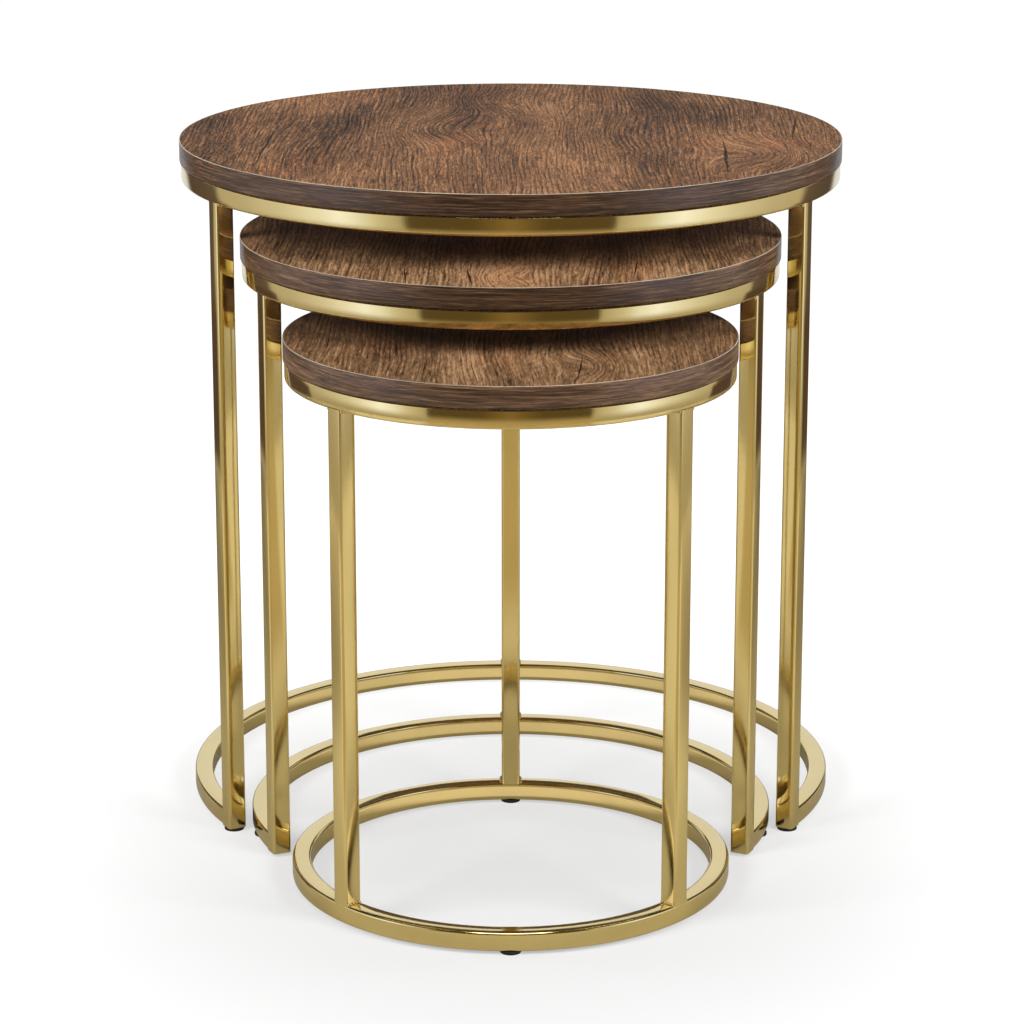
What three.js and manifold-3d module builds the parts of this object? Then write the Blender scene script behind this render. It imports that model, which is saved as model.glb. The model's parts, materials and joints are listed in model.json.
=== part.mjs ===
// A nest of three round side tables: wood-effect board tops with edge bands, on polished
// square-tube frames. Millimetres, +Z up, front at -Y, origin on the floor at the middle of the
// nest's box, with the medium and small tables drawn forward.
import * as THREE from 'three';
import { mergeVertices } from 'three/addons/utils/BufferGeometryUtils.js';
import Module from 'manifold-3d';

const wasm = await Module();
wasm.setup();

// ---- driving dimensions -------------------------------------------------------------------
const TUBE = 14; // outside width of the square tube
const TUBE_CORNER = 2; // outside corner of the tube
const TUBE_WALL = 1.25;
const BOARD_THICKNESS = 16;
const BAND_THICKNESS = 2; // edge band round the board
const BAND_CHAMFER = 0.75;
const RING_INSET = 1; // the tube ring stands this far inside the board's edge
const FOOT_HEIGHT = 2.5; // the base ring's height above the floor
const SEAM = 0.25; // gap kept between pieces that touch

const PAD_DIAMETER = 15;
const PAD_CHAMFER = 0.5;
const PLUG_WIDTH = 10.5; // square plug of a foot in an open leg end
const PLUG_HEIGHT = 12;
const STEM_DIAMETER = 5; // round stem of a foot under a ring
const STEM_HEIGHT = 6;

const VENT_DIAMETER = 6; // hole that joins a leg's inside to the ring's
const TAB = { length: 24, width: 20, thickness: 3, hole: 4.5 };
const TAB_ANGLES = [30, 150, 210, 330]; // from the front, clear of every leg
const SCREW = { head: 8, headHeight: 2.5, shank: 3.5, length: 14 };

const DISC_SEGMENTS = 64;
const RING_SEGMENTS = 48;
const SMALL_SEGMENTS = 12;

const NEST_CENTRE = 60.75; // the large table's centre behind the middle of the nest's box
const TABLES = [
  {
    name: 'large',
    radius: 250,
    height: 514,
    centreY: NEST_CENTRE,
    legAngle: 60.5, // front legs, each side of straight ahead
    openFront: true, // the base ring stops at the front legs
    feet: [{ name: 'back', angle: 180 }],
    plugFeet: true, // the front legs stand on feet of their own
  },
  {
    name: 'medium',
    radius: 199,
    height: 457,
    centreY: NEST_CENTRE - 92,
    legAngle: 65,
    openFront: true,
    feet: [{ name: 'right', angle: 78 }, { name: 'back', angle: 180 }, { name: 'left', angle: 282 }],
    plugFeet: false,
  },
  {
    name: 'small',
    radius: 161.5,
    height: 407,
    centreY: NEST_CENTRE - 210,
    legAngle: 49,
    openFront: false,
    feet: [
      { name: 'front', angle: 0 },
      { name: 'right', angle: 120 },
      { name: 'back', angle: 180 },
      { name: 'left', angle: 240 },
    ],
    plugFeet: false,
  },
];

// ---- finishes -------------------------------------------------------------------------------
const finish = (colour, roughness, metalness) =>
  new THREE.MeshStandardMaterial({ color: new THREE.Color(...colour), roughness, metalness });
const WOOD = finish([0.27, 0.16, 0.09], 0.55, 0);
const BAND = finish([0.12, 0.075, 0.045], 0.5, 0);
const GOLD = finish([0.72, 0.54, 0.26], 0.2, 1);
const RUBBER = finish([0.02, 0.02, 0.02], 0.8, 0);
const STEEL = finish([0.55, 0.55, 0.55], 0.4, 1);

// ---- helpers --------------------------------------------------------------------------------
const radians = THREE.MathUtils.degToRad;

// Outward direction at an angle from the front (-Y), turning towards +X.
const outward = (angle) => new THREE.Vector2(Math.sin(radians(angle)), -Math.cos(radians(angle)));

function toSolid(geometry) {
  const plain = geometry.clone();
  plain.deleteAttribute('normal');
  plain.deleteAttribute('uv');
  const merged = mergeVertices(plain, 1e-4);
  return new wasm.Manifold(
    new wasm.Mesh({
      numProp: 3,
      vertProperties: new Float32Array(merged.attributes.position.array),
      triVerts: new Uint32Array(merged.index.array),
    }),
  );
}

function toGeometry(solid) {
  const mesh = solid.getMesh();
  const geometry = new THREE.BufferGeometry();
  geometry.setAttribute('position', new THREE.BufferAttribute(mesh.vertProperties, 3));
  geometry.setIndex(new THREE.BufferAttribute(mesh.triVerts, 1));
  return geometry;
}

function makePiece(name, geometry, material) {
  const piece = new THREE.Mesh(geometry, material);
  piece.name = name;
  return piece;
}

// A closed solid turned about +Z from [radius, height] points that close on themselves.
function turned(points, segments) {
  const profile = [...points, points[0]].map(([radius, height]) => new THREE.Vector2(radius, height));
  return new THREE.LatheGeometry(profile, segments).rotateX(Math.PI / 2);
}

// A square outline of a given width, with cut corners.
function squareOutline(width, corner) {
  const half = width / 2;
  const flat = half - corner;
  return [
    [half, -flat],
    [half, flat],
    [flat, half],
    [-flat, half],
    [-half, flat],
    [-half, -flat],
    [-flat, -half],
    [flat, -half],
  ];
}

function prism(outline, height) {
  const shape = new THREE.Shape(outline.map(([x, y]) => new THREE.Vector2(x, y)));
  return new THREE.ExtrudeGeometry(shape, { depth: height, bevelEnabled: false });
}

function cylinder(diameter, height, segments = SMALL_SEGMENTS) {
  const shape = new THREE.CylinderGeometry(diameter / 2, diameter / 2, height, segments);
  return shape.rotateX(Math.PI / 2).translate(0, 0, height / 2);
}

// ---- levels and radii shared by the pieces of one table -----------------------------------------
const frameRadius = (table) => table.radius - RING_INSET;
const tubeCentre = (table) => frameRadius(table) - TUBE / 2;
const boardBottom = (table) => table.height - BOARD_THICKNESS;
const topRingTop = (table) => boardBottom(table) - SEAM;
const topRingBottom = (table) => topRingTop(table) - TUBE;
const BASE_RING_TOP = FOOT_HEIGHT + TUBE;

// ---- board and edge band ------------------------------------------------------------------------
function makeBoard(table) {
  const radius = table.radius - BAND_THICKNESS - SEAM;
  let board = toSolid(cylinder(2 * radius, BOARD_THICKNESS, DISC_SEGMENTS));
  const depth = SCREW.length - TAB.thickness + SEAM;
  for (const angle of TAB_ANGLES) {
    const spot = outward(angle).multiplyScalar(tabHoleRadius(table));
    const hole = cylinder(SCREW.shank + 2 * SEAM, depth + 1).translate(spot.x, spot.y, -1);
    board = board.subtract(toSolid(hole));
  }
  const geometry = toGeometry(board).translate(0, 0, boardBottom(table));
  return makePiece(`${table.name}_top_board`, geometry, WOOD);
}

function makeBand(table) {
  const outer = table.radius;
  const inner = outer - BAND_THICKNESS;
  const bottom = boardBottom(table);
  const points = [
    [inner, bottom],
    [outer, bottom],
    [outer, table.height - BAND_CHAMFER],
    [outer - BAND_CHAMFER, table.height],
    [inner, table.height],
  ];
  return makePiece(`${table.name}_edge_band`, turned(points, DISC_SEGMENTS), BAND);
}

// ---- tube rings ---------------------------------------------------------------------------------
function hollowRing(table, bottom) {
  const centre = [tubeCentre(table), bottom + TUBE / 2];
  const place = ([x, y]) => [centre[0] + x, centre[1] + y];
  const outside = squareOutline(TUBE, TUBE_CORNER).map(place);
  const half = TUBE / 2 - TUBE_WALL;
  const inside = [[half, -half], [half, half], [-half, half], [-half, -half]].map(place);
  return toSolid(turned(outside, RING_SEGMENTS)).subtract(toSolid(turned(inside, RING_SEGMENTS)));
}

function drill(ring, table, angle, bottom, height, diameter) {
  const spot = outward(angle).multiplyScalar(tubeCentre(table));
  return ring.subtract(toSolid(cylinder(diameter, height).translate(spot.x, spot.y, bottom)));
}

function makeTopRing(table) {
  const bottom = topRingBottom(table);
  let ring = hollowRing(table, bottom);
  for (const angle of legAngles(table)) {
    ring = drill(ring, table, angle, bottom - 1, TUBE / 2, VENT_DIAMETER);
  }
  return makePiece(`${table.name}_top_ring`, toGeometry(ring), GOLD);
}

// The sector between the front legs, cut just behind the legs' rear faces.
function frontSector(table) {
  const reach = 2 * table.radius;
  const side = TUBE / 2 + SEAM;
  const far = outward(table.legAngle).multiplyScalar(reach);
  const across = outward(table.legAngle + 90).multiplyScalar(side);
  const corner = far.add(across);
  const apex = side / Math.sin(radians(table.legAngle));
  return prism([[0, apex], [-corner.x, corner.y], [0, -2 * reach], [corner.x, corner.y]], TABLES[0].height);
}

function makeBaseRing(table) {
  let ring = hollowRing(table, FOOT_HEIGHT);
  for (const angle of standingLegs(table)) {
    ring = drill(ring, table, angle, BASE_RING_TOP - TUBE / 2 + 1, TUBE / 2, VENT_DIAMETER);
  }
  for (const foot of table.feet) {
    ring = drill(ring, table, foot.angle, FOOT_HEIGHT - 1, TUBE / 2, STEM_DIAMETER + 2 * SEAM);
  }
  if (table.openFront) {
    ring = ring.subtract(toSolid(frontSector(table)));
  }
  return makePiece(`${table.name}_base_ring`, toGeometry(ring), GOLD);
}

// ---- legs -----------------------------------------------------------------------------------------
const legAngles = (table) => [table.legAngle, 180, -table.legAngle];

// Legs that stand on the base ring; those of an open ring's front run down past its ends.
const standingLegs = (table) => (table.openFront ? [180] : legAngles(table));

const LEG_NAMES = ['front_right', 'back', 'front_left'];

function makeLeg(table, angle, name) {
  const standing = standingLegs(table).includes(angle);
  const bottom = standing ? BASE_RING_TOP + SEAM : FOOT_HEIGHT;
  const height = topRingBottom(table) - SEAM - bottom;
  const closedEnd = standing || table.plugFeet ? -1 : TUBE_WALL;
  const bore = prism(squareOutline(TUBE - 2 * TUBE_WALL, TUBE_CORNER - TUBE_WALL), height + 2);
  bore.translate(0, 0, closedEnd);
  const tube = toSolid(prism(squareOutline(TUBE, TUBE_CORNER), height)).subtract(toSolid(bore));
  const leg = makePiece(`${table.name}_leg_${name}`, toGeometry(tube), GOLD);
  const spot = outward(angle).multiplyScalar(tubeCentre(table));
  leg.position.set(spot.x, spot.y, bottom);
  leg.rotation.z = radians(angle);
  return leg;
}

// ---- feet -----------------------------------------------------------------------------------------
function pad() {
  const radius = PAD_DIAMETER / 2;
  const top = FOOT_HEIGHT - SEAM;
  const profile = [
    [0, 0],
    [radius - PAD_CHAMFER, 0],
    [radius, PAD_CHAMFER],
    [radius, top],
    [0, top],
  ].map(([x, y]) => new THREE.Vector2(x, y));
  return toSolid(new THREE.LatheGeometry(profile, 2 * SMALL_SEGMENTS).rotateX(Math.PI / 2));
}

function makeFoot(table, angle, name, plugged) {
  const start = FOOT_HEIGHT - SEAM - 1;
  const grip = plugged
    ? prism(squareOutline(PLUG_WIDTH, 1), PLUG_HEIGHT)
    : cylinder(STEM_DIAMETER, STEM_HEIGHT);
  const solid = pad().add(toSolid(grip.translate(0, 0, start)));
  const foot = makePiece(`${table.name}_foot_${name}`, toGeometry(solid), RUBBER);
  const spot = outward(angle).multiplyScalar(tubeCentre(table));
  foot.position.set(spot.x, spot.y, 0);
  foot.rotation.z = radians(angle);
  return foot;
}

// ---- tabs and screws that hold the board --------------------------------------------------------
// Outer end of a tab: inside the flats of the faceted ring, measured at the tab's corners.
function tabEnd(table) {
  const ringInside = (frameRadius(table) - TUBE) * Math.cos(Math.PI / RING_SEGMENTS);
  return Math.sqrt(ringInside ** 2 - (TAB.width / 2) ** 2) - SEAM;
}

const tabHoleRadius = (table) => tabEnd(table) - TAB.length + TAB.width / 2;

function makeTab(table, angle, index) {
  const start = tabEnd(table) - TAB.length;
  const half = TAB.width / 2;
  const shape = new THREE.Shape();
  shape.moveTo(-half, -start - half);
  shape.absarc(0, -start - half, half, Math.PI, 0, true);
  shape.lineTo(half, -tabEnd(table));
  shape.lineTo(-half, -tabEnd(table));
  shape.closePath();
  const hole = new THREE.Path();
  hole.absarc(0, -tabHoleRadius(table), TAB.hole / 2, 0, 2 * Math.PI, false);
  shape.holes.push(hole);
  const options = { depth: TAB.thickness, bevelEnabled: false, curveSegments: SMALL_SEGMENTS / 2 };
  const tab = makePiece(`${table.name}_tab_${index}`, new THREE.ExtrudeGeometry(shape, options), GOLD);
  tab.position.z = topRingTop(table) - TAB.thickness;
  tab.rotation.z = radians(angle);
  return tab;
}

function makeScrew(table, angle, index) {
  const { head, headHeight, shank, length } = SCREW;
  const profile = [
    [0, -headHeight],
    [head / 2 - 1, -headHeight],
    [head / 2, 1 - headHeight],
    [head / 2, 0],
    [shank / 2, 0],
    [shank / 2, length - 3],
    [0, length - 1],
  ].map(([x, y]) => new THREE.Vector2(x, y));
  const solid = toSolid(new THREE.LatheGeometry(profile, SMALL_SEGMENTS).rotateX(Math.PI / 2));
  const screw = makePiece(`${table.name}_screw_${index}`, toGeometry(solid), STEEL);
  const spot = outward(angle).multiplyScalar(tabHoleRadius(table));
  screw.position.set(spot.x, spot.y, topRingTop(table) - TAB.thickness - SEAM);
  return screw;
}

// ---- one table, and the nest --------------------------------------------------------------------
function makeTable(table) {
  const group = new THREE.Group();
  group.position.y = table.centreY;
  group.add(makeBoard(table), makeBand(table), makeTopRing(table), makeBaseRing(table));
  legAngles(table).forEach((angle, index) => {
    group.add(makeLeg(table, angle, LEG_NAMES[index]));
    if (table.plugFeet && LEG_NAMES[index] !== 'back') {
      group.add(makeFoot(table, angle, LEG_NAMES[index], true));
    }
  });
  for (const foot of table.feet) {
    group.add(makeFoot(table, foot.angle, foot.name, false));
  }
  TAB_ANGLES.forEach((angle, index) => {
    group.add(makeTab(table, angle, index + 1), makeScrew(table, angle, index + 1));
  });
  return group;
}

const nest = new THREE.Group();
nest.add(...TABLES.map(makeTable));

export default nest;
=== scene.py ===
"""The looks of a nest of three round side tables: wood-effect tops on polished gold tube frames."""
import json
import math

import bmesh
import bpy
from mathutils import Matrix, Vector


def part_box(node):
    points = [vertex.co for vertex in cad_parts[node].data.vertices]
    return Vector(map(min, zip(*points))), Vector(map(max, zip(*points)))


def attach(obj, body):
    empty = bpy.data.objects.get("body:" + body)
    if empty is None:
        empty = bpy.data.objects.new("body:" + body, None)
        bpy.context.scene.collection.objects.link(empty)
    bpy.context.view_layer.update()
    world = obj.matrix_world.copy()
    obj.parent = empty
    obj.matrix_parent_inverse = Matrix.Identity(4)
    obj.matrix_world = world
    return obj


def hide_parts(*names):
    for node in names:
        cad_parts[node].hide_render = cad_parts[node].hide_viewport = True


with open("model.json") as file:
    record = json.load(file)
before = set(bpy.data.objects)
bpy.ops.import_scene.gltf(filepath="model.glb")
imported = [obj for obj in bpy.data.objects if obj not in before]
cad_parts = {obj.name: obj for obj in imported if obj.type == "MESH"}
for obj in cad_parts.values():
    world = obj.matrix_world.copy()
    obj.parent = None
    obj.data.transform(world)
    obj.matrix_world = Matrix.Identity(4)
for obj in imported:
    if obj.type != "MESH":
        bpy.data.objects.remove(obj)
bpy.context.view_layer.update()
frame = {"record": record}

MM = 0.001
FULL_TURN = 2 * math.pi

# ---- sizes that the frame doesn't state -------------------------------------------------------
RING_STEPS = 192  # steps round a tube ring
TUBE_CORNER = 2.0 * MM  # outside corner of the square tube
CORNER_STEPS = 4
WALL_BOW = 0.2 * MM  # how far bending the tube draws its inner wall in
BAND_THICKNESS = 1.0 * MM  # of the band that runs round a board
BAND_EDGE = 0.6 * MM  # rounding of the band's trimmed edges
BAND_EDGE_STEPS = 3
RIM_DEPTH = 0.45 * MM  # how far down the paler upper edge reaches
WELD_SINK = 1.0 * MM  # how far a leg's end is sunk into the ring that it is welded to
RING_SINK = 5.0 * MM  # how far an open ring's end is sunk into a front leg
LEG_REST = 0.05 * MM  # keeps a front leg's end from lying in one plane with the ring's underside
BEAD_RADIUS = 1.3 * MM
BEAD_RIPPLES = 5
BEAD_STAND_OFF = 0.2 * BEAD_RADIUS  # of a bead's centre from its leg and from its ring
BEAD_SWELL = 0.16  # how much the ripples of a bead differ in size
PAD_EDGE = 0.5 * MM  # rounding of a foot's pad
PEG_RADIUS = 2.5 * MM  # of the peg that holds a foot in the tube
PEG_EDGE = 1.0 * MM
FOOT_STEPS = 48
TAB_HALF_WIDTH = 10.0 * MM
TAB_BORE = 2.25 * MM
TAB_STEPS = 48
TAB_OVERLAP = 0.3 * MM  # how far a tab runs into the ring that it is welded to
HEAD_DEPTH = 2.5 * MM
# A screw's head from its crown to its seat, in shares of its radius and its depth.
HEAD_PROFILE = ((0, 0), (0.45, 0.02), (0.75, 0.16), (0.93, 0.44), (1, 0.84), (0.97, 1))
SCREW_NECK = 1.4 * MM
SCREW_POINT = 3.0 * MM  # least length of the plain point past the thread
SCREW_STEPS = 32
THREAD_PITCH = 1.2 * MM
THREAD_CREST = 1.75 * MM
THREAD_ROOT = 1.35 * MM
WELD_DISTANCE = 0.001 * MM  # vertices closer than this are one


# ---- measures of each table, read from the frame ------------------------------------------------
def centre_of(node):
    low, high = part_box(node)
    return (Vector(low) + Vector(high)) / 2


def on_floor(point):
    """The point on the floor that is straight below."""
    return Vector((point.x, point.y, 0))


class Table:
    """One table's sizes and places, in metres."""

    def __init__(self, name):
        self.name = name
        self.body = f"{name}_table"
        band_low, band_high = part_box(f"{name}_edge_band")
        ring_low, ring_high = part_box(f"{name}_top_ring")
        base_low, base_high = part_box(f"{name}_base_ring")
        self.centre = Vector((0, (band_low[1] + band_high[1]) / 2, 0))
        self.radius = (band_high[0] - band_low[0]) / 2
        self.top, self.board_bottom = band_high[2], band_low[2]
        self.ring_radius = (ring_high[0] - ring_low[0]) / 2
        self.ring_top, self.ring_bottom = ring_high[2], ring_low[2]
        self.base_top, self.base_bottom = base_high[2], base_low[2]
        self.tube = self.ring_top - self.ring_bottom
        self.tube_centre = self.ring_radius - self.tube / 2
        self.open_front = base_low[1] > self.centre.y - self.ring_radius + self.tube
        self.legs = {}
        for place in ("front_right", "back", "front_left"):
            self.legs[place] = self.angle_of(f"{name}_leg_{place}")

    def node(self, part):
        return f"{self.name}_{part}"

    def angle_of(self, node):
        """Where a node is, as an angle from straight ahead (-Y) turning towards +X."""
        away = centre_of(node) - self.centre
        return math.atan2(away.x, -away.y)

    def at(self, angle, radius, height):
        """The point at an angle, a distance from the table's axis and a height."""
        return self.centre + Vector((math.sin(angle) * radius, -math.cos(angle) * radius, height))


TABLES = {name: Table(name) for name in ("large", "medium", "small")}


# ---- shader graphs --------------------------------------------------------------------------------
class Value:
    """A socket that Python's operators work on, each adding a Math node."""

    def __init__(self, graph, socket):
        self.graph = graph
        self.socket = socket

    def __add__(self, other):
        return self.graph.maths("ADD", self, other)

    def __sub__(self, other):
        return self.graph.maths("SUBTRACT", self, other)

    def __rsub__(self, other):
        return self.graph.maths("SUBTRACT", other, self)

    def __mul__(self, other):
        return self.graph.maths("MULTIPLY", self, other)

    def __truediv__(self, other):
        return self.graph.maths("DIVIDE", self, other)

    def __neg__(self):
        return self * -1

    __radd__ = __add__
    __rmul__ = __mul__


class Graph:
    """The nodes of a material or of the world."""

    def __init__(self, owner):
        owner.use_nodes = True
        self.owner = owner
        self.tree = owner.node_tree

    def node(self, kind, settings=None, inputs=None, output=0):
        """Adds a node, makes its settings, then fills its sockets with values or links."""
        made = self.tree.nodes.new(kind)
        for key, value in (settings or {}).items():
            if key == "stops":
                self.fill_ramp(made.color_ramp, value)
            else:
                setattr(made, key, value)
        for key, value in (inputs or {}).items():
            self.feed(made.inputs[key], value)
        return Value(self, made.outputs[output])

    def feed(self, socket, value):
        """Links a socket, or sets it to a number, a vector or a colour, which is a tuple of three."""
        if isinstance(value, Value):
            self.tree.links.new(value.socket, socket)
        elif isinstance(value, tuple):
            socket.default_value = (*value, 1)
        else:
            socket.default_value = value

    @staticmethod
    def fill_ramp(ramp, stops):
        ramp.elements.remove(ramp.elements[1])
        ramp.elements[0].position = stops[0][0]
        ramp.elements[0].color = (*stops[0][1], 1)
        for place, colour in stops[1:]:
            ramp.elements.new(place).color = (*colour, 1)

    def maths(self, operation, *values):
        return self.node("ShaderNodeMath", {"operation": operation}, dict(enumerate(values)))

    def sine(self, value):
        return self.maths("SINE", value)

    def size(self, value):
        return self.maths("ABSOLUTE", value)

    def larger(self, one, other):
        return self.maths("MAXIMUM", one, other)

    def root(self, value):
        return self.maths("SQRT", value)

    def bell(self, across, along):
        """1 where both are 0, falling to nothing a little past 1 from there."""
        return self.maths("EXPONENT", -(across * across + along * along))

    def step(self, value, low, high):
        """Smoothly from 0 at low to 1 at high, which may be the lower number."""
        fed = {"Value": value, "From Min": low, "From Max": high}
        return self.node("ShaderNodeMapRange", {"interpolation_type": "SMOOTHSTEP"}, fed)

    def place(self, centre):
        """x, y and z in metres from a centre."""
        point = self.node("ShaderNodeTexCoord", output="Object")
        fed = {"Vector": point, "Location": -Vector(centre)}
        moved = self.node("ShaderNodeMapping", {"vector_type": "POINT"}, fed)
        split = self.node("ShaderNodeSeparateXYZ", inputs={"Vector": moved})
        outputs = split.socket.node.outputs
        return [Value(self, outputs[axis]) for axis in "XYZ"]

    def vector(self, x, y, z=0.0):
        return self.node("ShaderNodeCombineXYZ", inputs={"X": x, "Y": y, "Z": z})

    def noise(self, vector, detail=2.0, roughness=0.5):
        """Noise with one cycle for each 1 of the vector, so a vector is given in cycles."""
        fed = {"Vector": vector, "Scale": 1.0, "Detail": detail, "Roughness": roughness}
        return self.node("ShaderNodeTexNoise", {"noise_dimensions": "3D"}, fed)

    def ramp(self, value, stops):
        return self.node("ShaderNodeValToRGB", {"stops": stops}, {"Fac": value})

    def blend(self, amount, one, other, way="MIX"):
        """One colour turned into another by an amount from 0 to 1."""
        mixed = self.node("ShaderNodeMix", {"data_type": "RGBA", "blend_type": way})
        node = mixed.socket.node
        # The colour sockets of this node come after those for numbers and vectors.
        for number, value in ((0, amount), (6, one), (7, other)):
            self.feed(node.inputs[number], value)
        return Value(self, node.outputs[2])

    def bump(self, height, strength, distance, normal=None):
        fed = {"Height": height, "Strength": strength, "Distance": distance}
        if normal is not None:
            fed["Normal"] = normal
        return self.node("ShaderNodeBump", {}, fed)

    def finish(self, **sockets):
        """Fills the shader's sockets, named with underscores for spaces, and gives the material."""
        shader = self.tree.nodes["Principled BSDF"]
        for name, value in sockets.items():
            self.feed(shader.inputs[name.replace("_", " ")], value)
        return self.owner


def new_finish(name):
    """The graph of a new material."""
    return Graph(bpy.data.materials.new(name))


# ---- finishes -------------------------------------------------------------------------------------
WOOD_TONES = [
    (0.0, (0.016, 0.007, 0.003)),
    (0.25, (0.052, 0.023, 0.0095)),
    (0.5, (0.112, 0.051, 0.021)),
    (0.72, (0.195, 0.091, 0.038)),
    (1.0, (0.350, 0.176, 0.080)),
]
CRACK_TONE = (0.014, 0.008, 0.005)
CRACK_LEAST = 0.02 * MM  # half width that a crack keeps at its ends
GROWTH_LINES = 3.6 * MM  # from one growth line of the wood to the next
BAND_TONES = [
    (0.0, (0.005, 0.0025, 0.0012)),
    (0.35, (0.018, 0.0080, 0.0036)),
    (0.65, (0.048, 0.0225, 0.0100)),
    (1.0, (0.115, 0.060, 0.030)),
]
UNDER_TINT = (0.90, 1.05, 1.22)  # the two smaller tops are a little less red
RIM_TONE = (0.34, 0.29, 0.21)
GOLD_TONE = (0.80, 0.64, 0.30)


class Knot:
    """Where the grain closes round itself: centre, half widths and push in millimetres, and its shade."""

    def __init__(self, x, y, across, along, push, shade):
        self.x, self.y = x * MM, y * MM
        self.across, self.along = across * MM, along * MM
        self.push = push * MM
        self.shade = shade


class Crack:
    """A dark check along the grain: two ends and its half width at the middle, in millimetres."""

    def __init__(self, start, end, width):
        (start_x, start_y), (end_x, end_y) = start, end
        self.x, self.y = start_x * MM, start_y * MM
        self.lean = (end_x - start_x) / (end_y - start_y)
        self.middle = (start_y + end_y) / 2 * MM
        self.half = abs(end_y - start_y) / 2 * MM
        self.width = width * MM


class Stain:
    """A soft darker patch: centre and half widths in millimetres, its lean along the grain, and depth."""

    def __init__(self, x, y, across, along, lean, depth):
        self.x, self.y = x * MM, y * MM
        self.across, self.along = across * MM, along * MM
        self.lean = lean
        self.depth = depth


def bend_grain(g, x, y, knots, seed):
    """The place across the grain as it sways and closes round the knots, the sway, and the knots' shade."""
    sway = g.noise(g.vector(x * 4.5, y * 2.0, seed), detail=2) - 0.5
    drift = g.noise(g.vector(x * 14, y * 7, seed + 4), detail=2) - 0.5
    grain = x + sway * 0.048 + drift * 0.009
    shade = 0.0
    for knot in knots:
        near = g.bell((x - knot.x) / knot.across, (y - knot.y) / knot.along)
        grain = grain + near * knot.push
        shade = near * knot.shade + shade
    wobble = g.noise(g.vector(x * 55, y * 18, seed + 9), detail=2) - 0.5
    return grain + wobble * 0.0012, sway, shade


def stain_shade(g, x, y, stain, sway):
    off_y = y - stain.y
    off_x = x + sway * 0.05 - stain.x - off_y * stain.lean
    return g.bell(off_x / stain.across, off_y / stain.along) * stain.depth


def crack_mask(g, x, y, crack, seed):
    """1 inside a crack that wanders a little and tapers to both ends."""
    wander = g.noise(g.vector(y * 20, crack.x * 90, seed), detail=3, roughness=0.6) - 0.5
    off = g.size(x - crack.x - (y - crack.y) * crack.lean + wander * 0.005)
    taper = 1 - g.size(y - crack.middle) / crack.half
    width = g.larger(taper, 0) * crack.width + CRACK_LEAST
    return g.step(off / width, 1.25, 0.45) * g.step(taper, 0.0, 0.12)


def opened_by(g, x, y, cracks, seed):
    """1 where any of the cracks is."""
    opened = crack_mask(g, x, y, cracks[0], seed)
    for crack in cracks[1:]:
        opened = g.larger(opened, crack_mask(g, x, y, crack, seed))
    return opened


def wood_face(table, knots, cracks, stains, seed, lift=0.0, bold=1.0, tint=(1, 1, 1)):
    """Brushed, wood-effect laminate with the grain running front to back.

    The seed picks the figure. Lift makes it paler, bold makes its lines stronger, and tint colours it.
    """
    g = new_finish(f"{table.name}_walnut_top")
    x, y, _ = g.place((0, table.centre.y, 0))
    grain, sway, shade = bend_grain(g, x, y, knots, seed)
    lines = g.noise(g.vector(grain * 560, y * 11, seed + 13), detail=3, roughness=0.65) - 0.5
    rings = g.step(g.sine(grain * (FULL_TURN / GROWTH_LINES) + lines * 5), 0.0, 1.0)
    strength = g.step(g.noise(g.vector(grain * 26, y * 4, seed + 2), detail=1), 0.35, 0.65)
    broad = g.noise(g.vector(grain * 15, y * 2.4, seed + 6), detail=3, roughness=0.6) - 0.5
    fibre = g.noise(g.vector(grain * 700, y * 34, seed), detail=2, roughness=0.7) - 0.5
    grit = g.noise(g.vector(x * 800, y * 110, seed + 3), detail=1) - 0.5
    pore = g.step(g.noise(g.vector(grain * 750, y * 30, seed + 1), detail=1), 0.60, 0.70)
    cloud = g.noise(g.vector(x * 11, y * 6, seed + 11), detail=2) - 0.5
    figure = lines * 1.20 + fibre * 1.30 + grit * 1.05
    tone = 0.63 + lift + broad * 1.00 + figure * bold + cloud * 0.50
    tone = tone - rings * (strength * 0.15 + 0.04) - pore * 0.22 - shade
    grained = 0.75 - lines * 1.6 - fibre * 1.2
    for stain in stains:
        tone = tone - stain_shade(g, x, y, stain, sway) * grained
    tones = []
    for level, shown in WOOD_TONES:
        tones.append((level, tuple(part * gain for part, gain in zip(shown, tint))))
    colour = g.ramp(tone, tones)
    warmth = g.step(g.noise(g.vector(x * 16, y * 8, seed + 20), detail=2), 0.50, 0.72)
    colour = g.blend(warmth * 0.25, colour, (0.62, 0.42, 0.30), "OVERLAY")
    opened = opened_by(g, x, y, cracks, seed)
    colour = g.blend(opened, colour, CRACK_TONE)
    height = fibre + lines * 0.8 - rings * 0.35 - pore * 0.5 - opened * 1.6
    return g.finish(
        Base_Color=colour,
        Roughness=0.55 + fibre * 0.25 + rings * 0.08,
        Normal=g.bump(height, 0.30, 0.0005),
        Specular_IOR_Level=0.1,
    )


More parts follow.
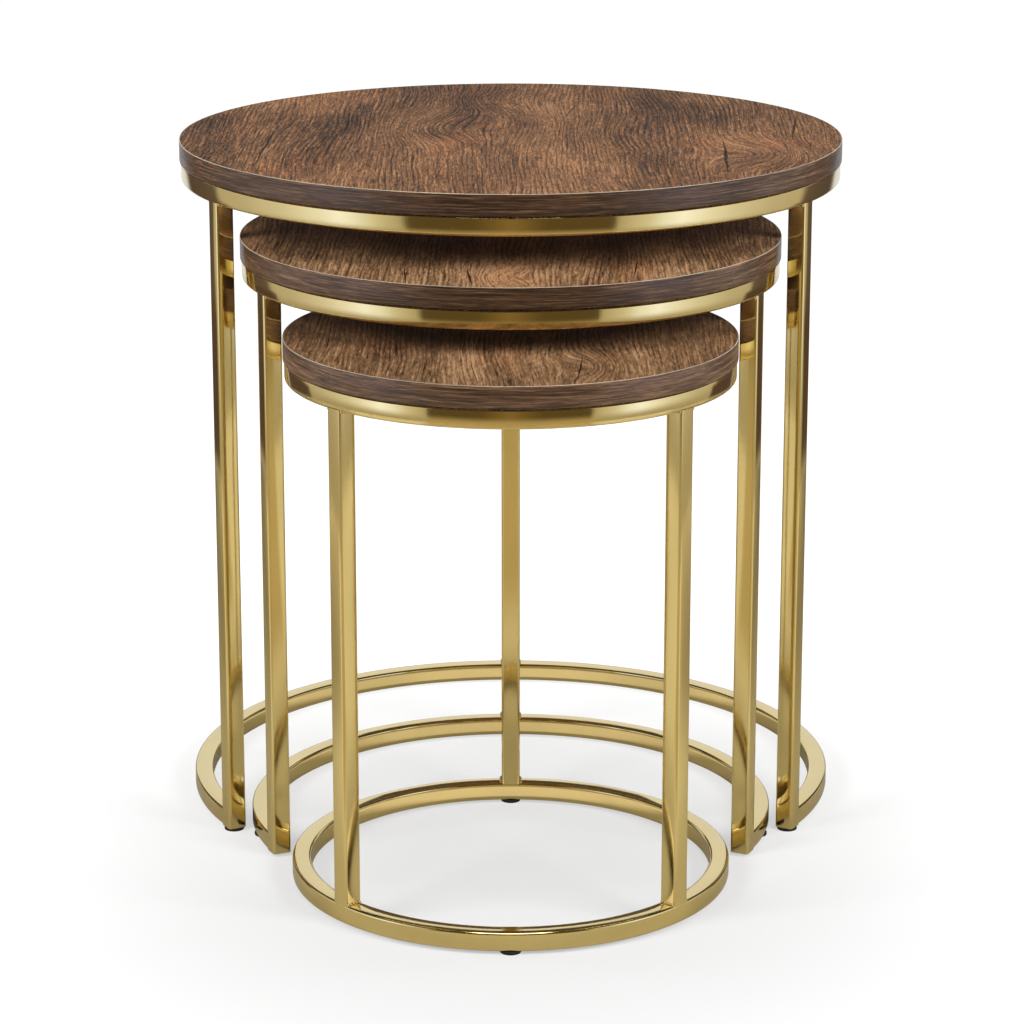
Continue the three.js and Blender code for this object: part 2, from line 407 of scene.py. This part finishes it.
def edge_band_finish(table, lift):
    """Dark wood-effect strip with its grain running round the board and a paler upper edge."""
    g = new_finish(f"{table.name}_walnut_edge_band")
    x, y, z = g.place((0, table.centre.y, 0))
    slow = g.noise(g.vector(x * 9, y * 9, z * 240), detail=2) - 0.5
    level = z + slow * 0.0022
    streak = g.noise(g.vector(x * 22, y * 22, level * 1000), detail=5, roughness=0.72)
    fine = g.noise(g.vector(x * 90, y * 90, level * 2900), detail=2)
    cloud = g.noise(g.vector(x * 6, y * 6, z * 30), detail=2)
    tone = 0.5 + lift + (streak - 0.5) * 2.3 + (fine - 0.5) * 1.1 + (cloud - 0.5) * 0.6
    colour = g.ramp(tone, BAND_TONES)
    rim = g.step(z, table.top - RIM_DEPTH, table.top - RIM_DEPTH * 0.6)
    colour = g.blend(rim * (0.75 + slow), colour, RIM_TONE)
    normal = g.bump(streak + fine * 0.4, 0.3, 0.0003)
    return g.finish(
        Base_Color=colour,
        Roughness=0.42 + (fine - 0.5) * 0.2,
        Normal=normal,
        Specular_IOR_Level=0.4,
        Coat_Weight=0.25,
        Coat_Roughness=0.2,
    )


def polished_gold(name, roughness):
    """Gold-coloured plating, polished, with faint buffing marks and finger haze."""
    g = new_finish(name)
    x, y, z = g.place((0, 0, 0))
    haze = g.noise(g.vector(x * 18, y * 18, z * 12), detail=3)
    buffing = g.noise(g.vector(x * 700, y * 700, z * 60), detail=2)
    speck = g.step(g.noise(g.vector(x * 900, y * 900, z * 900), detail=0), 0.72, 0.80)
    ripple = g.noise(g.vector(x * 26, y * 26, z * 9), detail=1)
    dull = tuple(part * 0.86 for part in GOLD_TONE)
    tint = g.blend(g.step(haze, 0.35, 0.75) * 0.35, GOLD_TONE, dull)
    normal = g.bump(ripple, 0.25, 0.0012)
    normal = g.bump(buffing, 0.08, 0.0001, normal)
    return g.finish(
        Base_Color=tint,
        Metallic=1.0,
        Roughness=roughness + (haze - 0.5) * 0.10 + (buffing - 0.5) * 0.04 + speck * 0.10,
        Normal=normal,
    )


def foot_rubber_finish():
    g = new_finish("black_foot_rubber")
    x, y, z = g.place((0, 0, 0))
    grit = g.noise(g.vector(x * 900, y * 900, z * 900), detail=3)
    colour = g.ramp(grit, [(0.3, (0.006, 0.006, 0.006)), (0.8, (0.020, 0.019, 0.018))])
    normal = g.bump(grit, 0.3, 0.0002)
    return g.finish(
        Base_Color=colour, Roughness=0.7 + grit * 0.2, Normal=normal, Specular_IOR_Level=0.2
    )


def screw_steel_finish():
    g = new_finish("zinc_plated_steel")
    x, y, z = g.place((0, 0, 0))
    mottle = g.noise(g.vector(x * 500, y * 500, z * 500), detail=3)
    colour = g.ramp(mottle, [(0.25, (0.42, 0.42, 0.43)), (0.75, (0.66, 0.65, 0.62))])
    return g.finish(Base_Color=colour, Metallic=1.0, Roughness=0.28 + mottle * 0.25)


# ---- piece building -----------------------------------------------------------------------------
def keep_piece(name, mesh, table, material, nodes=(), smooth_below=40):
    """Makes the finished object of a bmesh, hangs it on its table's body and hides the frame's nodes that
    it stands for.
    """
    bmesh.ops.recalc_face_normals(mesh, faces=mesh.faces)
    data = bpy.data.meshes.new(name)
    mesh.to_mesh(data)
    mesh.free()
    for face in data.polygons:
        face.use_smooth = True
    data.set_sharp_from_angle(angle=math.radians(smooth_below))
    data.materials.append(material)
    piece = bpy.data.objects.new(name, data)
    bpy.context.scene.collection.objects.link(piece)
    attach(piece, table.body)
    if nodes:
        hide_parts(*nodes)
    return piece


def outline(mesh, points, corner, steps=CORNER_STEPS, between=()):
    """A closed loop of edges through rounded corners, and then through plain points between."""
    verts = [mesh.verts.new(point) for point in points]
    mesh.faces.new(verts + [mesh.verts.new(point) for point in between])
    bmesh.ops.bevel(
        mesh,
        geom=verts,
        offset=corner,
        offset_type="OFFSET",
        affect="VERTICES",
        segments=steps,
        profile=0.5,
        material=-1,
    )
    bmesh.ops.delete(mesh, geom=list(mesh.faces), context="FACES_ONLY")
    return list(mesh.edges)


def raise_faces(mesh, height):
    """Turns flat faces into a solid of this height."""
    raised = bmesh.ops.extrude_face_region(mesh, geom=list(mesh.faces))
    up = [item for item in raised["geom"] if isinstance(item, bmesh.types.BMVert)]
    bmesh.ops.translate(mesh, verts=up, vec=(0, 0, height))


def tube_section(table, angle, bottom):
    """The four corners of the bent tube's section, and points of its inner wall, drawn in a little."""
    inner, outer = table.ring_radius - table.tube, table.ring_radius
    top = bottom + table.tube
    corners = ((inner, bottom), (outer, bottom), (outer, top), (inner, top))
    wall = []
    for part in (0.75, 0.625, 0.5, 0.375, 0.25):
        drawn_in = WALL_BOW * math.sin(math.pi * part)
        wall.append((inner + drawn_in, bottom + part * table.tube))
    return [[table.at(angle, *point) for point in points] for points in (corners, wall)]


def spin_round(mesh, edges, centre, steps, angle=FULL_TURN):
    """Sweeps edges about an upright axis, all the way round unless an angle is given."""
    closed = angle == FULL_TURN
    verts = list(dict.fromkeys(vert for edge in edges for vert in edge.verts))
    bmesh.ops.spin(
        mesh,
        geom=verts + edges,
        cent=centre,
        axis=(0, 0, 1),
        dvec=(0, 0, 0),
        angle=angle,
        steps=steps,
        use_merge=closed,
        use_duplicate=False,
    )
    if closed:
        bmesh.ops.remove_doubles(mesh, verts=mesh.verts, dist=WELD_DISTANCE)


def make_ring(table, part, bottom, material):
    mesh = bmesh.new()
    corners, wall = tube_section(table, 0, bottom)
    edges = outline(mesh, corners, TUBE_CORNER, between=wall)
    spin_round(mesh, edges, table.centre, RING_STEPS)
    keep_piece(f"{table.name}_polished_{part}", mesh, table, material, [table.node(part)])


def make_open_ring(table, material):
    """The base ring that runs round the back from one front leg to the other."""
    start = table.legs["front_right"] + (table.tube / 2 - RING_SINK) / table.tube_centre
    mesh = bmesh.new()
    corners, wall = tube_section(table, start, table.base_bottom)
    edges = outline(mesh, corners, TUBE_CORNER, between=wall)
    spin_round(mesh, edges, table.centre, RING_STEPS, FULL_TURN - 2 * start)
    open_edges = [edge for edge in mesh.edges if edge.is_boundary]
    bmesh.ops.holes_fill(mesh, edges=open_edges)
    name = f"{table.name}_polished_base_ring"
    keep_piece(name, mesh, table, material, [table.node("base_ring")])


def make_leg(table, place, material):
    node = table.node(f"leg_{place}")
    low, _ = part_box(node)
    stands_on_ring = low[2] > table.base_top
    bottom = table.base_top - WELD_SINK if stands_on_ring else table.base_bottom + LEG_REST
    top = table.ring_bottom + WELD_SINK
    half = table.tube / 2
    mesh = bmesh.new()
    corners = [Vector((x, y, 0)) for x, y in ((-half, -half), (half, -half), (half, half), (-half, half))]
    outline(mesh, corners, TUBE_CORNER)
    bmesh.ops.contextual_create(mesh, geom=list(mesh.edges))
    raise_faces(mesh, top - bottom)
    turn = Matrix.Rotation(table.legs[place], 4, "Z")
    bmesh.ops.transform(mesh, matrix=turn, verts=mesh.verts)
    bmesh.ops.translate(mesh, verts=mesh.verts, vec=table.at(table.legs[place], table.tube_centre, bottom))
    keep_piece(f"{table.name}_polished_leg_{place}", mesh, table, material, [node])


def make_board(table, material):
    mesh = bmesh.new()
    bmesh.ops.create_circle(
        mesh, cap_ends=True, segments=RING_STEPS, radius=table.radius - BAND_THICKNESS
    )
    raise_faces(mesh, table.top - table.board_bottom)
    place = table.centre + Vector((0, 0, table.board_bottom))
    bmesh.ops.translate(mesh, verts=mesh.verts, vec=place)
    keep_piece(f"{table.name}_board", mesh, table, material, [table.node("top_board")])


def make_band(table, material):
    inner, outer = table.radius - BAND_THICKNESS, table.radius
    bottom, top = table.board_bottom, table.top
    mesh = bmesh.new()
    rows = ((inner, bottom), (outer, bottom), (outer, top), (inner, top))
    corners = [table.at(0, radius, height) for radius, height in rows]
    edges = outline(mesh, corners, BAND_EDGE, BAND_EDGE_STEPS)
    spin_round(mesh, edges, table.centre, RING_STEPS)
    keep_piece(f"{table.name}_band", mesh, table, material, [table.node("edge_band")])


def add_bead(mesh, table, angle, side, height, pointing):
    """One rippled weld along the side of a leg, where it meets a ring, pointing up or down the leg."""
    across = side * (table.tube / 2 + BEAD_STAND_OFF)
    tangent = Vector((math.cos(angle), math.sin(angle), 0))
    spacing = (table.tube - 2 * TUBE_CORNER) / (BEAD_RIPPLES - 1)
    for ripple in range(BEAD_RIPPLES):
        radius = table.tube_centre + (ripple - (BEAD_RIPPLES - 1) / 2) * spacing
        spot = table.at(angle, radius, height + pointing * BEAD_STAND_OFF) + tangent * across
        swell = 1 + BEAD_SWELL * math.sin(2.4 * ripple + 5 * angle + side)
        made = bmesh.ops.create_uvsphere(
            mesh, u_segments=12, v_segments=8, radius=BEAD_RADIUS * swell
        )
        bmesh.ops.translate(mesh, verts=made["verts"], vec=spot)


def make_welds(table, material):
    mesh = bmesh.new()
    for place, angle in table.legs.items():
        low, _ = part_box(table.node(f"leg_{place}"))
        for side in (-1, 1):
            add_bead(mesh, table, angle, side, table.ring_bottom, -1)
            if low[2] > table.base_top:
                add_bead(mesh, table, angle, side, table.base_top, 1)
    keep_piece(f"{table.name}_weld_beads", mesh, table, material)


def lathe(mesh, rows, centre, steps):
    """A solid turned about an upright axis from (radius, height) rows that start and end on it."""
    verts = [mesh.verts.new(centre + Vector((radius, 0, height))) for radius, height in rows]
    edges = [mesh.edges.new(pair) for pair in zip(verts, verts[1:])]
    spin_round(mesh, edges, centre, steps)


def make_foot(table, node, material):
    low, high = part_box(node)
    radius = (high[0] - low[0]) / 2
    top = table.base_bottom
    mesh = bmesh.new()
    rows = [
        (0, 0),
        (radius - 1.6 * PAD_EDGE, 0),
        (radius - 0.4 * PAD_EDGE, 0.35 * PAD_EDGE),
        (radius, 1.2 * PAD_EDGE),
        (radius, top - 0.6 * PAD_EDGE),
        (radius - 0.3 * PAD_EDGE, top - 0.1 * PAD_EDGE),
        (radius - PAD_EDGE, top),
        (PEG_RADIUS, top),
        (PEG_RADIUS, high[2] - PEG_EDGE),
        (PEG_RADIUS - 0.8 * PEG_EDGE, high[2]),
        (0, high[2]),
    ]
    lathe(mesh, rows, on_floor(centre_of(node)), FOOT_STEPS)
    name = node.replace("foot", "rubber_foot")
    keep_piece(name, mesh, table, material, [node], smooth_below=50)


def make_tab(table, number, material):
    """A plate with a rounded inner end, welded inside the top ring, with a hole for a screw."""
    node = table.node(f"tab_{number}")
    screw = table.node(f"screw_{number}")
    low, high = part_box(node)
    angle = table.angle_of(screw)
    hole_radius = on_floor(centre_of(screw) - table.centre).length
    half = TAB_HALF_WIDTH
    reach = table.ring_radius - table.tube + TAB_OVERLAP - hole_radius
    mesh = bmesh.new()
    plate = bmesh.ops.create_circle(mesh, cap_ends=False, segments=TAB_STEPS, radius=half)["verts"]
    bmesh.ops.create_circle(mesh, cap_ends=False, segments=TAB_STEPS, radius=TAB_BORE)
    # The circle's outer half is drawn out to straight sides and a straight end in the ring.
    for vert in plate:
        if vert.co.y < 0:
            vert.co.y = -reach
            vert.co.x = max(-half, min(half, vert.co.x * 2))
    bmesh.ops.bridge_loops(mesh, edges=list(mesh.edges))
    bmesh.ops.remove_doubles(mesh, verts=mesh.verts, dist=WELD_DISTANCE)
    raise_faces(mesh, high[2] - low[2])
    bmesh.ops.rotate(mesh, verts=mesh.verts, cent=(0, 0, 0), matrix=Matrix.Rotation(angle, 3, "Z"))
    bmesh.ops.translate(mesh, verts=mesh.verts, vec=table.at(angle, hole_radius, low[2]))
    name = f"{table.name}_welded_tab_{number}"
    keep_piece(name, mesh, table, material, [node], smooth_below=30)


def make_screw(table, number, material):
    """A pan-head wood screw with a ridged shank."""
    node = table.node(f"screw_{number}")
    low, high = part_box(node)
    head = (high[0] - low[0]) / 2
    bottom, top = low[2], high[2]
    seat = bottom + HEAD_DEPTH
    mesh = bmesh.new()
    rows = [(head * across, bottom + HEAD_DEPTH * up) for across, up in HEAD_PROFILE]
    rows.append((SCREW_NECK, seat))
    for turn in range(int((top - seat - SCREW_POINT) / THREAD_PITCH)):
        rows.append((THREAD_CREST, seat + (turn + 0.5) * THREAD_PITCH))
        rows.append((THREAD_ROOT, seat + (turn + 1) * THREAD_PITCH))
    rows.append((0, top))
    lathe(mesh, rows, on_floor(centre_of(node)), SCREW_STEPS)
    name = f"{table.name}_pan_head_screw_{number}"
    keep_piece(name, mesh, table, material, [node], smooth_below=30)


# ---- the three tables ---------------------------------------------------------------------------
LARGE_KNOTS = [
    Knot(-60, 28, 34, 60, 22, 0.04),
    Knot(186, -88, 30, 46, -38, 0.0),
    Knot(12, 50, 30, 60, -8, 0.03),
    Knot(-22, 165, 26, 40, 10, 0.04),
    Knot(75, -20, 40, 160, 6, 0.0),
]
LARGE_CRACKS = [
    Crack((-186, -153), (-178, 55), 1.2),
    Crack((-178, 55), (-179, 155), 0.5),
    Crack((40, 70), (55, 160), 0.8),
    Crack((142, 20), (153, 186), 0.7),
    Crack((103, 20), (105, 62), 1.0),
    Crack((154, -185), (160, -20), 1.6),
    Crack((208, -43), (224, 91), 1.1),
    Crack((220, -78), (225, -29), 0.6),
    Crack((205, -90), (203, -20), 0.6),
    Crack((-59, -238), (-42, -80), 0.5),
]
LARGE_STAINS = [
    Stain(-132, 30, 18, 160, 0.11, 0.30),
    Stain(-185, 0, 60, 200, 0.0, 0.14),
    Stain(160, 0, 60, 200, 0.0, 0.06),
    Stain(0, 230, 150, 60, 0.0, 0.12),
    Stain(150, 85, 34, 60, 0.15, 0.26),
    Stain(-60, -4, 16, 12, 0.0, 0.34),
    Stain(-95, -197, 10, 6, 0.0, 0.30),
    Stain(-36, 110, 8, 80, 0.0, 0.16),
    Stain(186, -88, 10, 14, 0.0, 0.14),
]
MEDIUM_KNOTS = [Knot(-5, -165, 16, 30, 14, 0.05)]
MEDIUM_CRACKS = [
    Crack((-72, -190), (-74, -125), 0.7),
    Crack((-26, -197), (-30, -130), 1.1),
    Crack((85, -170), (90, -100), 0.7),
]
SMALL_KNOTS = [Knot(55, -100, 18, 35, -16, 0.05)]
SMALL_CRACKS = [
    Crack((45, -150), (50, -70), 0.9),
    Crack((-60, -140), (-58, -80), 0.6),
]

BAND_LIFTS = {"large": -0.05, "medium": 0.03, "small": 0.12}
LARGE_LOOK = {"seed": 3.1}
MEDIUM_LOOK = {"seed": 17.7, "lift": 0.10, "bold": 0.85, "tint": UNDER_TINT}
SMALL_LOOK = {"seed": 41.3, "lift": -0.02, "bold": 0.75, "tint": UNDER_TINT}
WOODS = {
    "large": wood_face(TABLES["large"], LARGE_KNOTS, LARGE_CRACKS, LARGE_STAINS, **LARGE_LOOK),
    "medium": wood_face(TABLES["medium"], MEDIUM_KNOTS, MEDIUM_CRACKS, [], **MEDIUM_LOOK),
    "small": wood_face(TABLES["small"], SMALL_KNOTS, SMALL_CRACKS, [], **SMALL_LOOK),
}
GOLD = polished_gold("polished_gold_plating", 0.09)
WELD_GOLD = polished_gold("gold_plated_weld", 0.24)
RUBBER = foot_rubber_finish()
STEEL = screw_steel_finish()
TAB_NUMBERS = (1, 2, 3, 4)

for table in TABLES.values():
    make_board(table, WOODS[table.name])
    make_band(table, edge_band_finish(table, BAND_LIFTS[table.name]))
    make_ring(table, "top_ring", table.ring_bottom, GOLD)
    if table.open_front:
        make_open_ring(table, GOLD)
    else:
        make_ring(table, "base_ring", table.base_bottom, GOLD)
    for place in table.legs:
        make_leg(table, place, GOLD)
    make_welds(table, WELD_GOLD)
    for node in frame["record"]["behaviour"]["bodies"][table.body]:
        if "_foot_" in node:
            make_foot(table, node, RUBBER)
    for number in TAB_NUMBERS:
        make_tab(table, number, GOLD)
        make_screw(table, number, STEEL)


# ---- floor, light and camera ----------------------------------------------------------------------
# In metres, unless a comment says otherwise.
FLOOR_REACH = 60.0
CLOTH_REACH = 3.0
CLOTH_LIFT = 0.1 * MM
SURROUND_RADIUS = 1.2
SURROUND_BOTTOM = 0.2 * MM
SURROUND_TOP = 0.8
SURROUND_STEPS = 96
DARK_CARD_HALF = 0.125
DARK_CARD_BACK = 0.45  # behind the middle of the nest
DARK_CARD_HEIGHTS = (0.16, 0.30)
CAMERA_LENS = 127.0  # millimetres, on a sensor 36 wide
CAMERA_PLACE = (0.001, -2.648, 0.969)
CAMERA_PITCH = 15.51  # degrees down from level
CAMERA_REACH = 60.0
SIDES = (("left", -1), ("right", 1))
# Degrees off the front, on both sides, and the light that the surround gives there.
SURROUND_BANDS = [
    (0, (0.26, 0.18, 0.07)),
    (12, (0.12, 0.085, 0.035)),
    (33, (0.11, 0.08, 0.04)),
    (35, (0.54, 0.50, 0.40)),
    (44, (0.78, 0.78, 0.74)),
    (50, (1.04, 1.14, 1.38)),
    (57, (1.20, 1.34, 1.85)),
    (66, (1.02, 1.08, 1.26)),
    (76, (0.84, 0.86, 0.90)),
    (95, (0.62, 0.60, 0.55)),
    (111, (0.57, 0.53, 0.44)),
    (115, (0.14, 0.11, 0.10)),
    (138, (0.10, 0.07, 0.06)),
    (144, (0.80, 0.84, 0.90)),
    (180, (0.90, 0.90, 0.90)),
]


def stage_mesh(name, mesh, material):
    data = bpy.data.meshes.new(name)
    mesh.to_mesh(data)
    mesh.free()
    data.materials.append(material)
    card = bpy.data.objects.new(name, data)
    bpy.context.scene.collection.objects.link(card)
    return card


def make_card(name, corners, material):
    mesh = bmesh.new()
    mesh.faces.new([mesh.verts.new(corner) for corner in corners])
    return stage_mesh(name, mesh, material)


def level_square(reach, height):
    sides = ((-reach, -reach), (reach, -reach), (reach, reach), (-reach, reach))
    return [(x, y, height) for x, y in sides]


def only_mirrored(card):
    """Hides a card from everything but reflections."""
    for kind in ("camera", "diffuse", "transmission", "volume_scatter", "shadow"):
        setattr(card, "visible_" + kind, False)


def make_floor():
    """The sweep that the tables stand on: it glows, brighter away from them, and its dimmer glow near them
    is painted shade.
    """
    g = new_finish("pale_sweep")
    x, y, _ = g.place((0, -0.25, 0))
    away = g.root(x * x + y * y)
    # Painted shade: the glow is dimmer near the tables, where their shade falls on the floor.
    glow = 0.47 + g.step(away, 0.06, 0.85) * 0.50
    sweep = g.finish(
        Base_Color=(0.22, 0.22, 0.22),
        Roughness=1.0,
        Specular_IOR_Level=0.0,
        Emission_Color=g.vector(glow, glow, glow),
        Emission_Strength=1.0,
    )
    make_card("studio_floor", level_square(FLOOR_REACH, 0), sweep)


def make_floor_cloth():
    """A grey cloth over the floor that only polished metal mirrors."""
    g = new_finish("floor_cloth_weave")
    x, y, _ = g.place((0, 0, 0))
    away = g.root(x * x + y * y)
    front = g.step(g.size(x) + y * 0.7, 0.05, -0.05) * g.step(away, 0.40, 0.62)
    outer = g.blend(g.step(y, -0.35, 0.05), (0.38, 0.36, 0.29), (0.26, 0.24, 0.185))
    tone = g.blend(g.step(away, 0.34, 0.50), (0.29, 0.27, 0.205), outer)
    tone = g.blend(front, tone, (0.26, 0.215, 0.125))
    # A pale ring lies inside the rear half of each base ring.
    for table in TABLES.values():
        off_y = y - table.centre.y
        gap = table.ring_radius - table.tube - g.root(x * x + off_y * off_y)
        pale = g.step(gap, 0.014, 0.022) * g.step(gap, 0.042, 0.034) * g.step(off_y, 0.0, 0.05)
        tone = g.blend(pale, tone, (0.74, 0.70, 0.60))
    beside = g.step(g.size(x), 0.40, 0.75) * (g.step(y, -0.38, -0.18) * 0.50 + 0.15)
    tone = g.blend(beside, tone, (0.10, 0.085, 0.06))
    cloth = g.finish(Base_Color=tone, Roughness=1.0, Specular_IOR_Level=0.0)
    only_mirrored(make_card("floor_cloth", level_square(CLOTH_REACH, CLOTH_LIFT), cloth))


def make_surround():
    """A ring of cloth round the tables that only polished metal mirrors, lit in bands."""
    g = new_finish("surround_cloth")
    x, y, z = g.place((0, 0, 0))
    azimuth = g.size(g.maths("ARCTAN2", x, -y)) / math.pi
    bands = g.ramp(azimuth, [(degrees / 180, tone) for degrees, tone in SURROUND_BANDS])
    front = g.step(azimuth, 0.21, 0.18)
    foot = g.step(z, 0.03, 0.23)
    low_tone = g.blend(front, (0.46, 0.42, 0.32), (0.50, 0.42, 0.25))
    glow = g.blend(foot, low_tone, bands)
    # A dark panel low down on each side, past the middle, darkens the outer faces of the front legs.
    panel = g.step(azimuth, 0.595, 0.615) * g.step(azimuth, 0.79, 0.77) * g.step(z, 0.0, 0.03)
    glow = g.blend(panel * g.step(z, 0.24, 0.16), glow, (0.10, 0.065, 0.05))
    cloth = g.finish(
        Base_Color=(0, 0, 0), Specular_IOR_Level=0.0, Emission_Color=glow, Emission_Strength=1.0
    )
    mesh = bmesh.new()
    ends = [mesh.verts.new((0, -SURROUND_RADIUS, height)) for height in (SURROUND_BOTTOM, SURROUND_TOP)]
    spin_round(mesh, [mesh.edges.new(ends)], (0, 0, 0), SURROUND_STEPS)
    only_mirrored(stage_mesh("surround", mesh, cloth))


def make_dark_card():
    """A narrow dark card behind the tables that the front of the small base ring mirrors."""
    g = new_finish("dark_card")
    card = g.finish(Base_Color=(0.05, 0.035, 0.02), Roughness=1.0, Specular_IOR_Level=0.2)
    half, (low, high) = DARK_CARD_HALF, DARK_CARD_HEIGHTS
    rows = ((-half, low), (half, low), (half, high), (-half, high))
    corners = [(across, DARK_CARD_BACK, height) for across, height in rows]
    only_mirrored(make_card("dark_card", corners, card))


def make_softbox(name, azimuth, distance, height, aim, width, depth, power, mirrored=False):
    """A soft light at an angle off the front, aimed at a height over the middle of the nest."""
    turn = math.radians(azimuth)
    spot = Vector((math.sin(turn) * distance, -math.cos(turn) * distance, height))
    light = bpy.data.lights.new(name, "AREA")
    light.shape = "RECTANGLE"
    light.size, light.size_y = width, depth
    light.energy = power
    lamp = bpy.data.objects.new(name, light)
    lamp.location = spot
    lamp.rotation_mode = "QUATERNION"
    lamp.rotation_quaternion = (Vector((0, 0, aim)) - spot).to_track_quat("-Z", "Y")
    lamp.visible_camera = False
    lamp.visible_glossy = mirrored
    bpy.context.scene.collection.objects.link(lamp)


def make_world():
    """Nearly white behind the tables near the horizon, and dark grey overhead and in front."""
    world = bpy.data.worlds.new("studio_walls")
    g = Graph(world)
    direction = g.node("ShaderNodeTexCoord", output="Generated")
    split = g.node("ShaderNodeSeparateXYZ", inputs={"Vector": direction}).socket.node
    y, z = [Value(g, split.outputs[axis]) for axis in "YZ"]
    low = g.step(z, 0.370, 0.360)
    behind = g.step(y, -0.35, 0.35)
    level = 0.06 + low * (behind * 0.70 + 0.12)
    backdrop = g.tree.nodes["Background"]
    g.feed(backdrop.inputs["Color"], g.vector(level, level, level))
    bpy.context.scene.world = world


def make_camera():
    """A long lens above the tables' height, looking down at the nest from the front."""
    data = bpy.data.cameras.new("front_camera")
    data.sensor_width = 36.0
    data.lens = CAMERA_LENS
    camera = bpy.data.objects.new("front_camera", data)
    camera.location = CAMERA_PLACE
    camera.rotation_euler = (math.radians(90 - CAMERA_PITCH), 0, 0)
    data.clip_end = CAMERA_REACH
    bpy.context.scene.collection.objects.link(camera)
    bpy.context.scene.camera = camera


make_floor()
make_floor_cloth()
make_surround()
make_dark_card()
for side, turn in SIDES:
    make_softbox(f"{side}_key", turn * 50, 2.1, 1.45, aim=0.45, width=1.15, depth=0.85, power=66)
for side, turn in SIDES:
    make_softbox(f"{side}_strip", turn * 98, 1.6, 0.20, aim=0.42, width=0.5, depth=0.34, power=30)
make_softbox("top_fill", 0, 1.2, 2.8, aim=0.3, width=1.4, depth=1.4, power=30, mirrored=True)
make_world()
make_camera()
bpy.context.scene.view_settings.view_transform = "Standard"
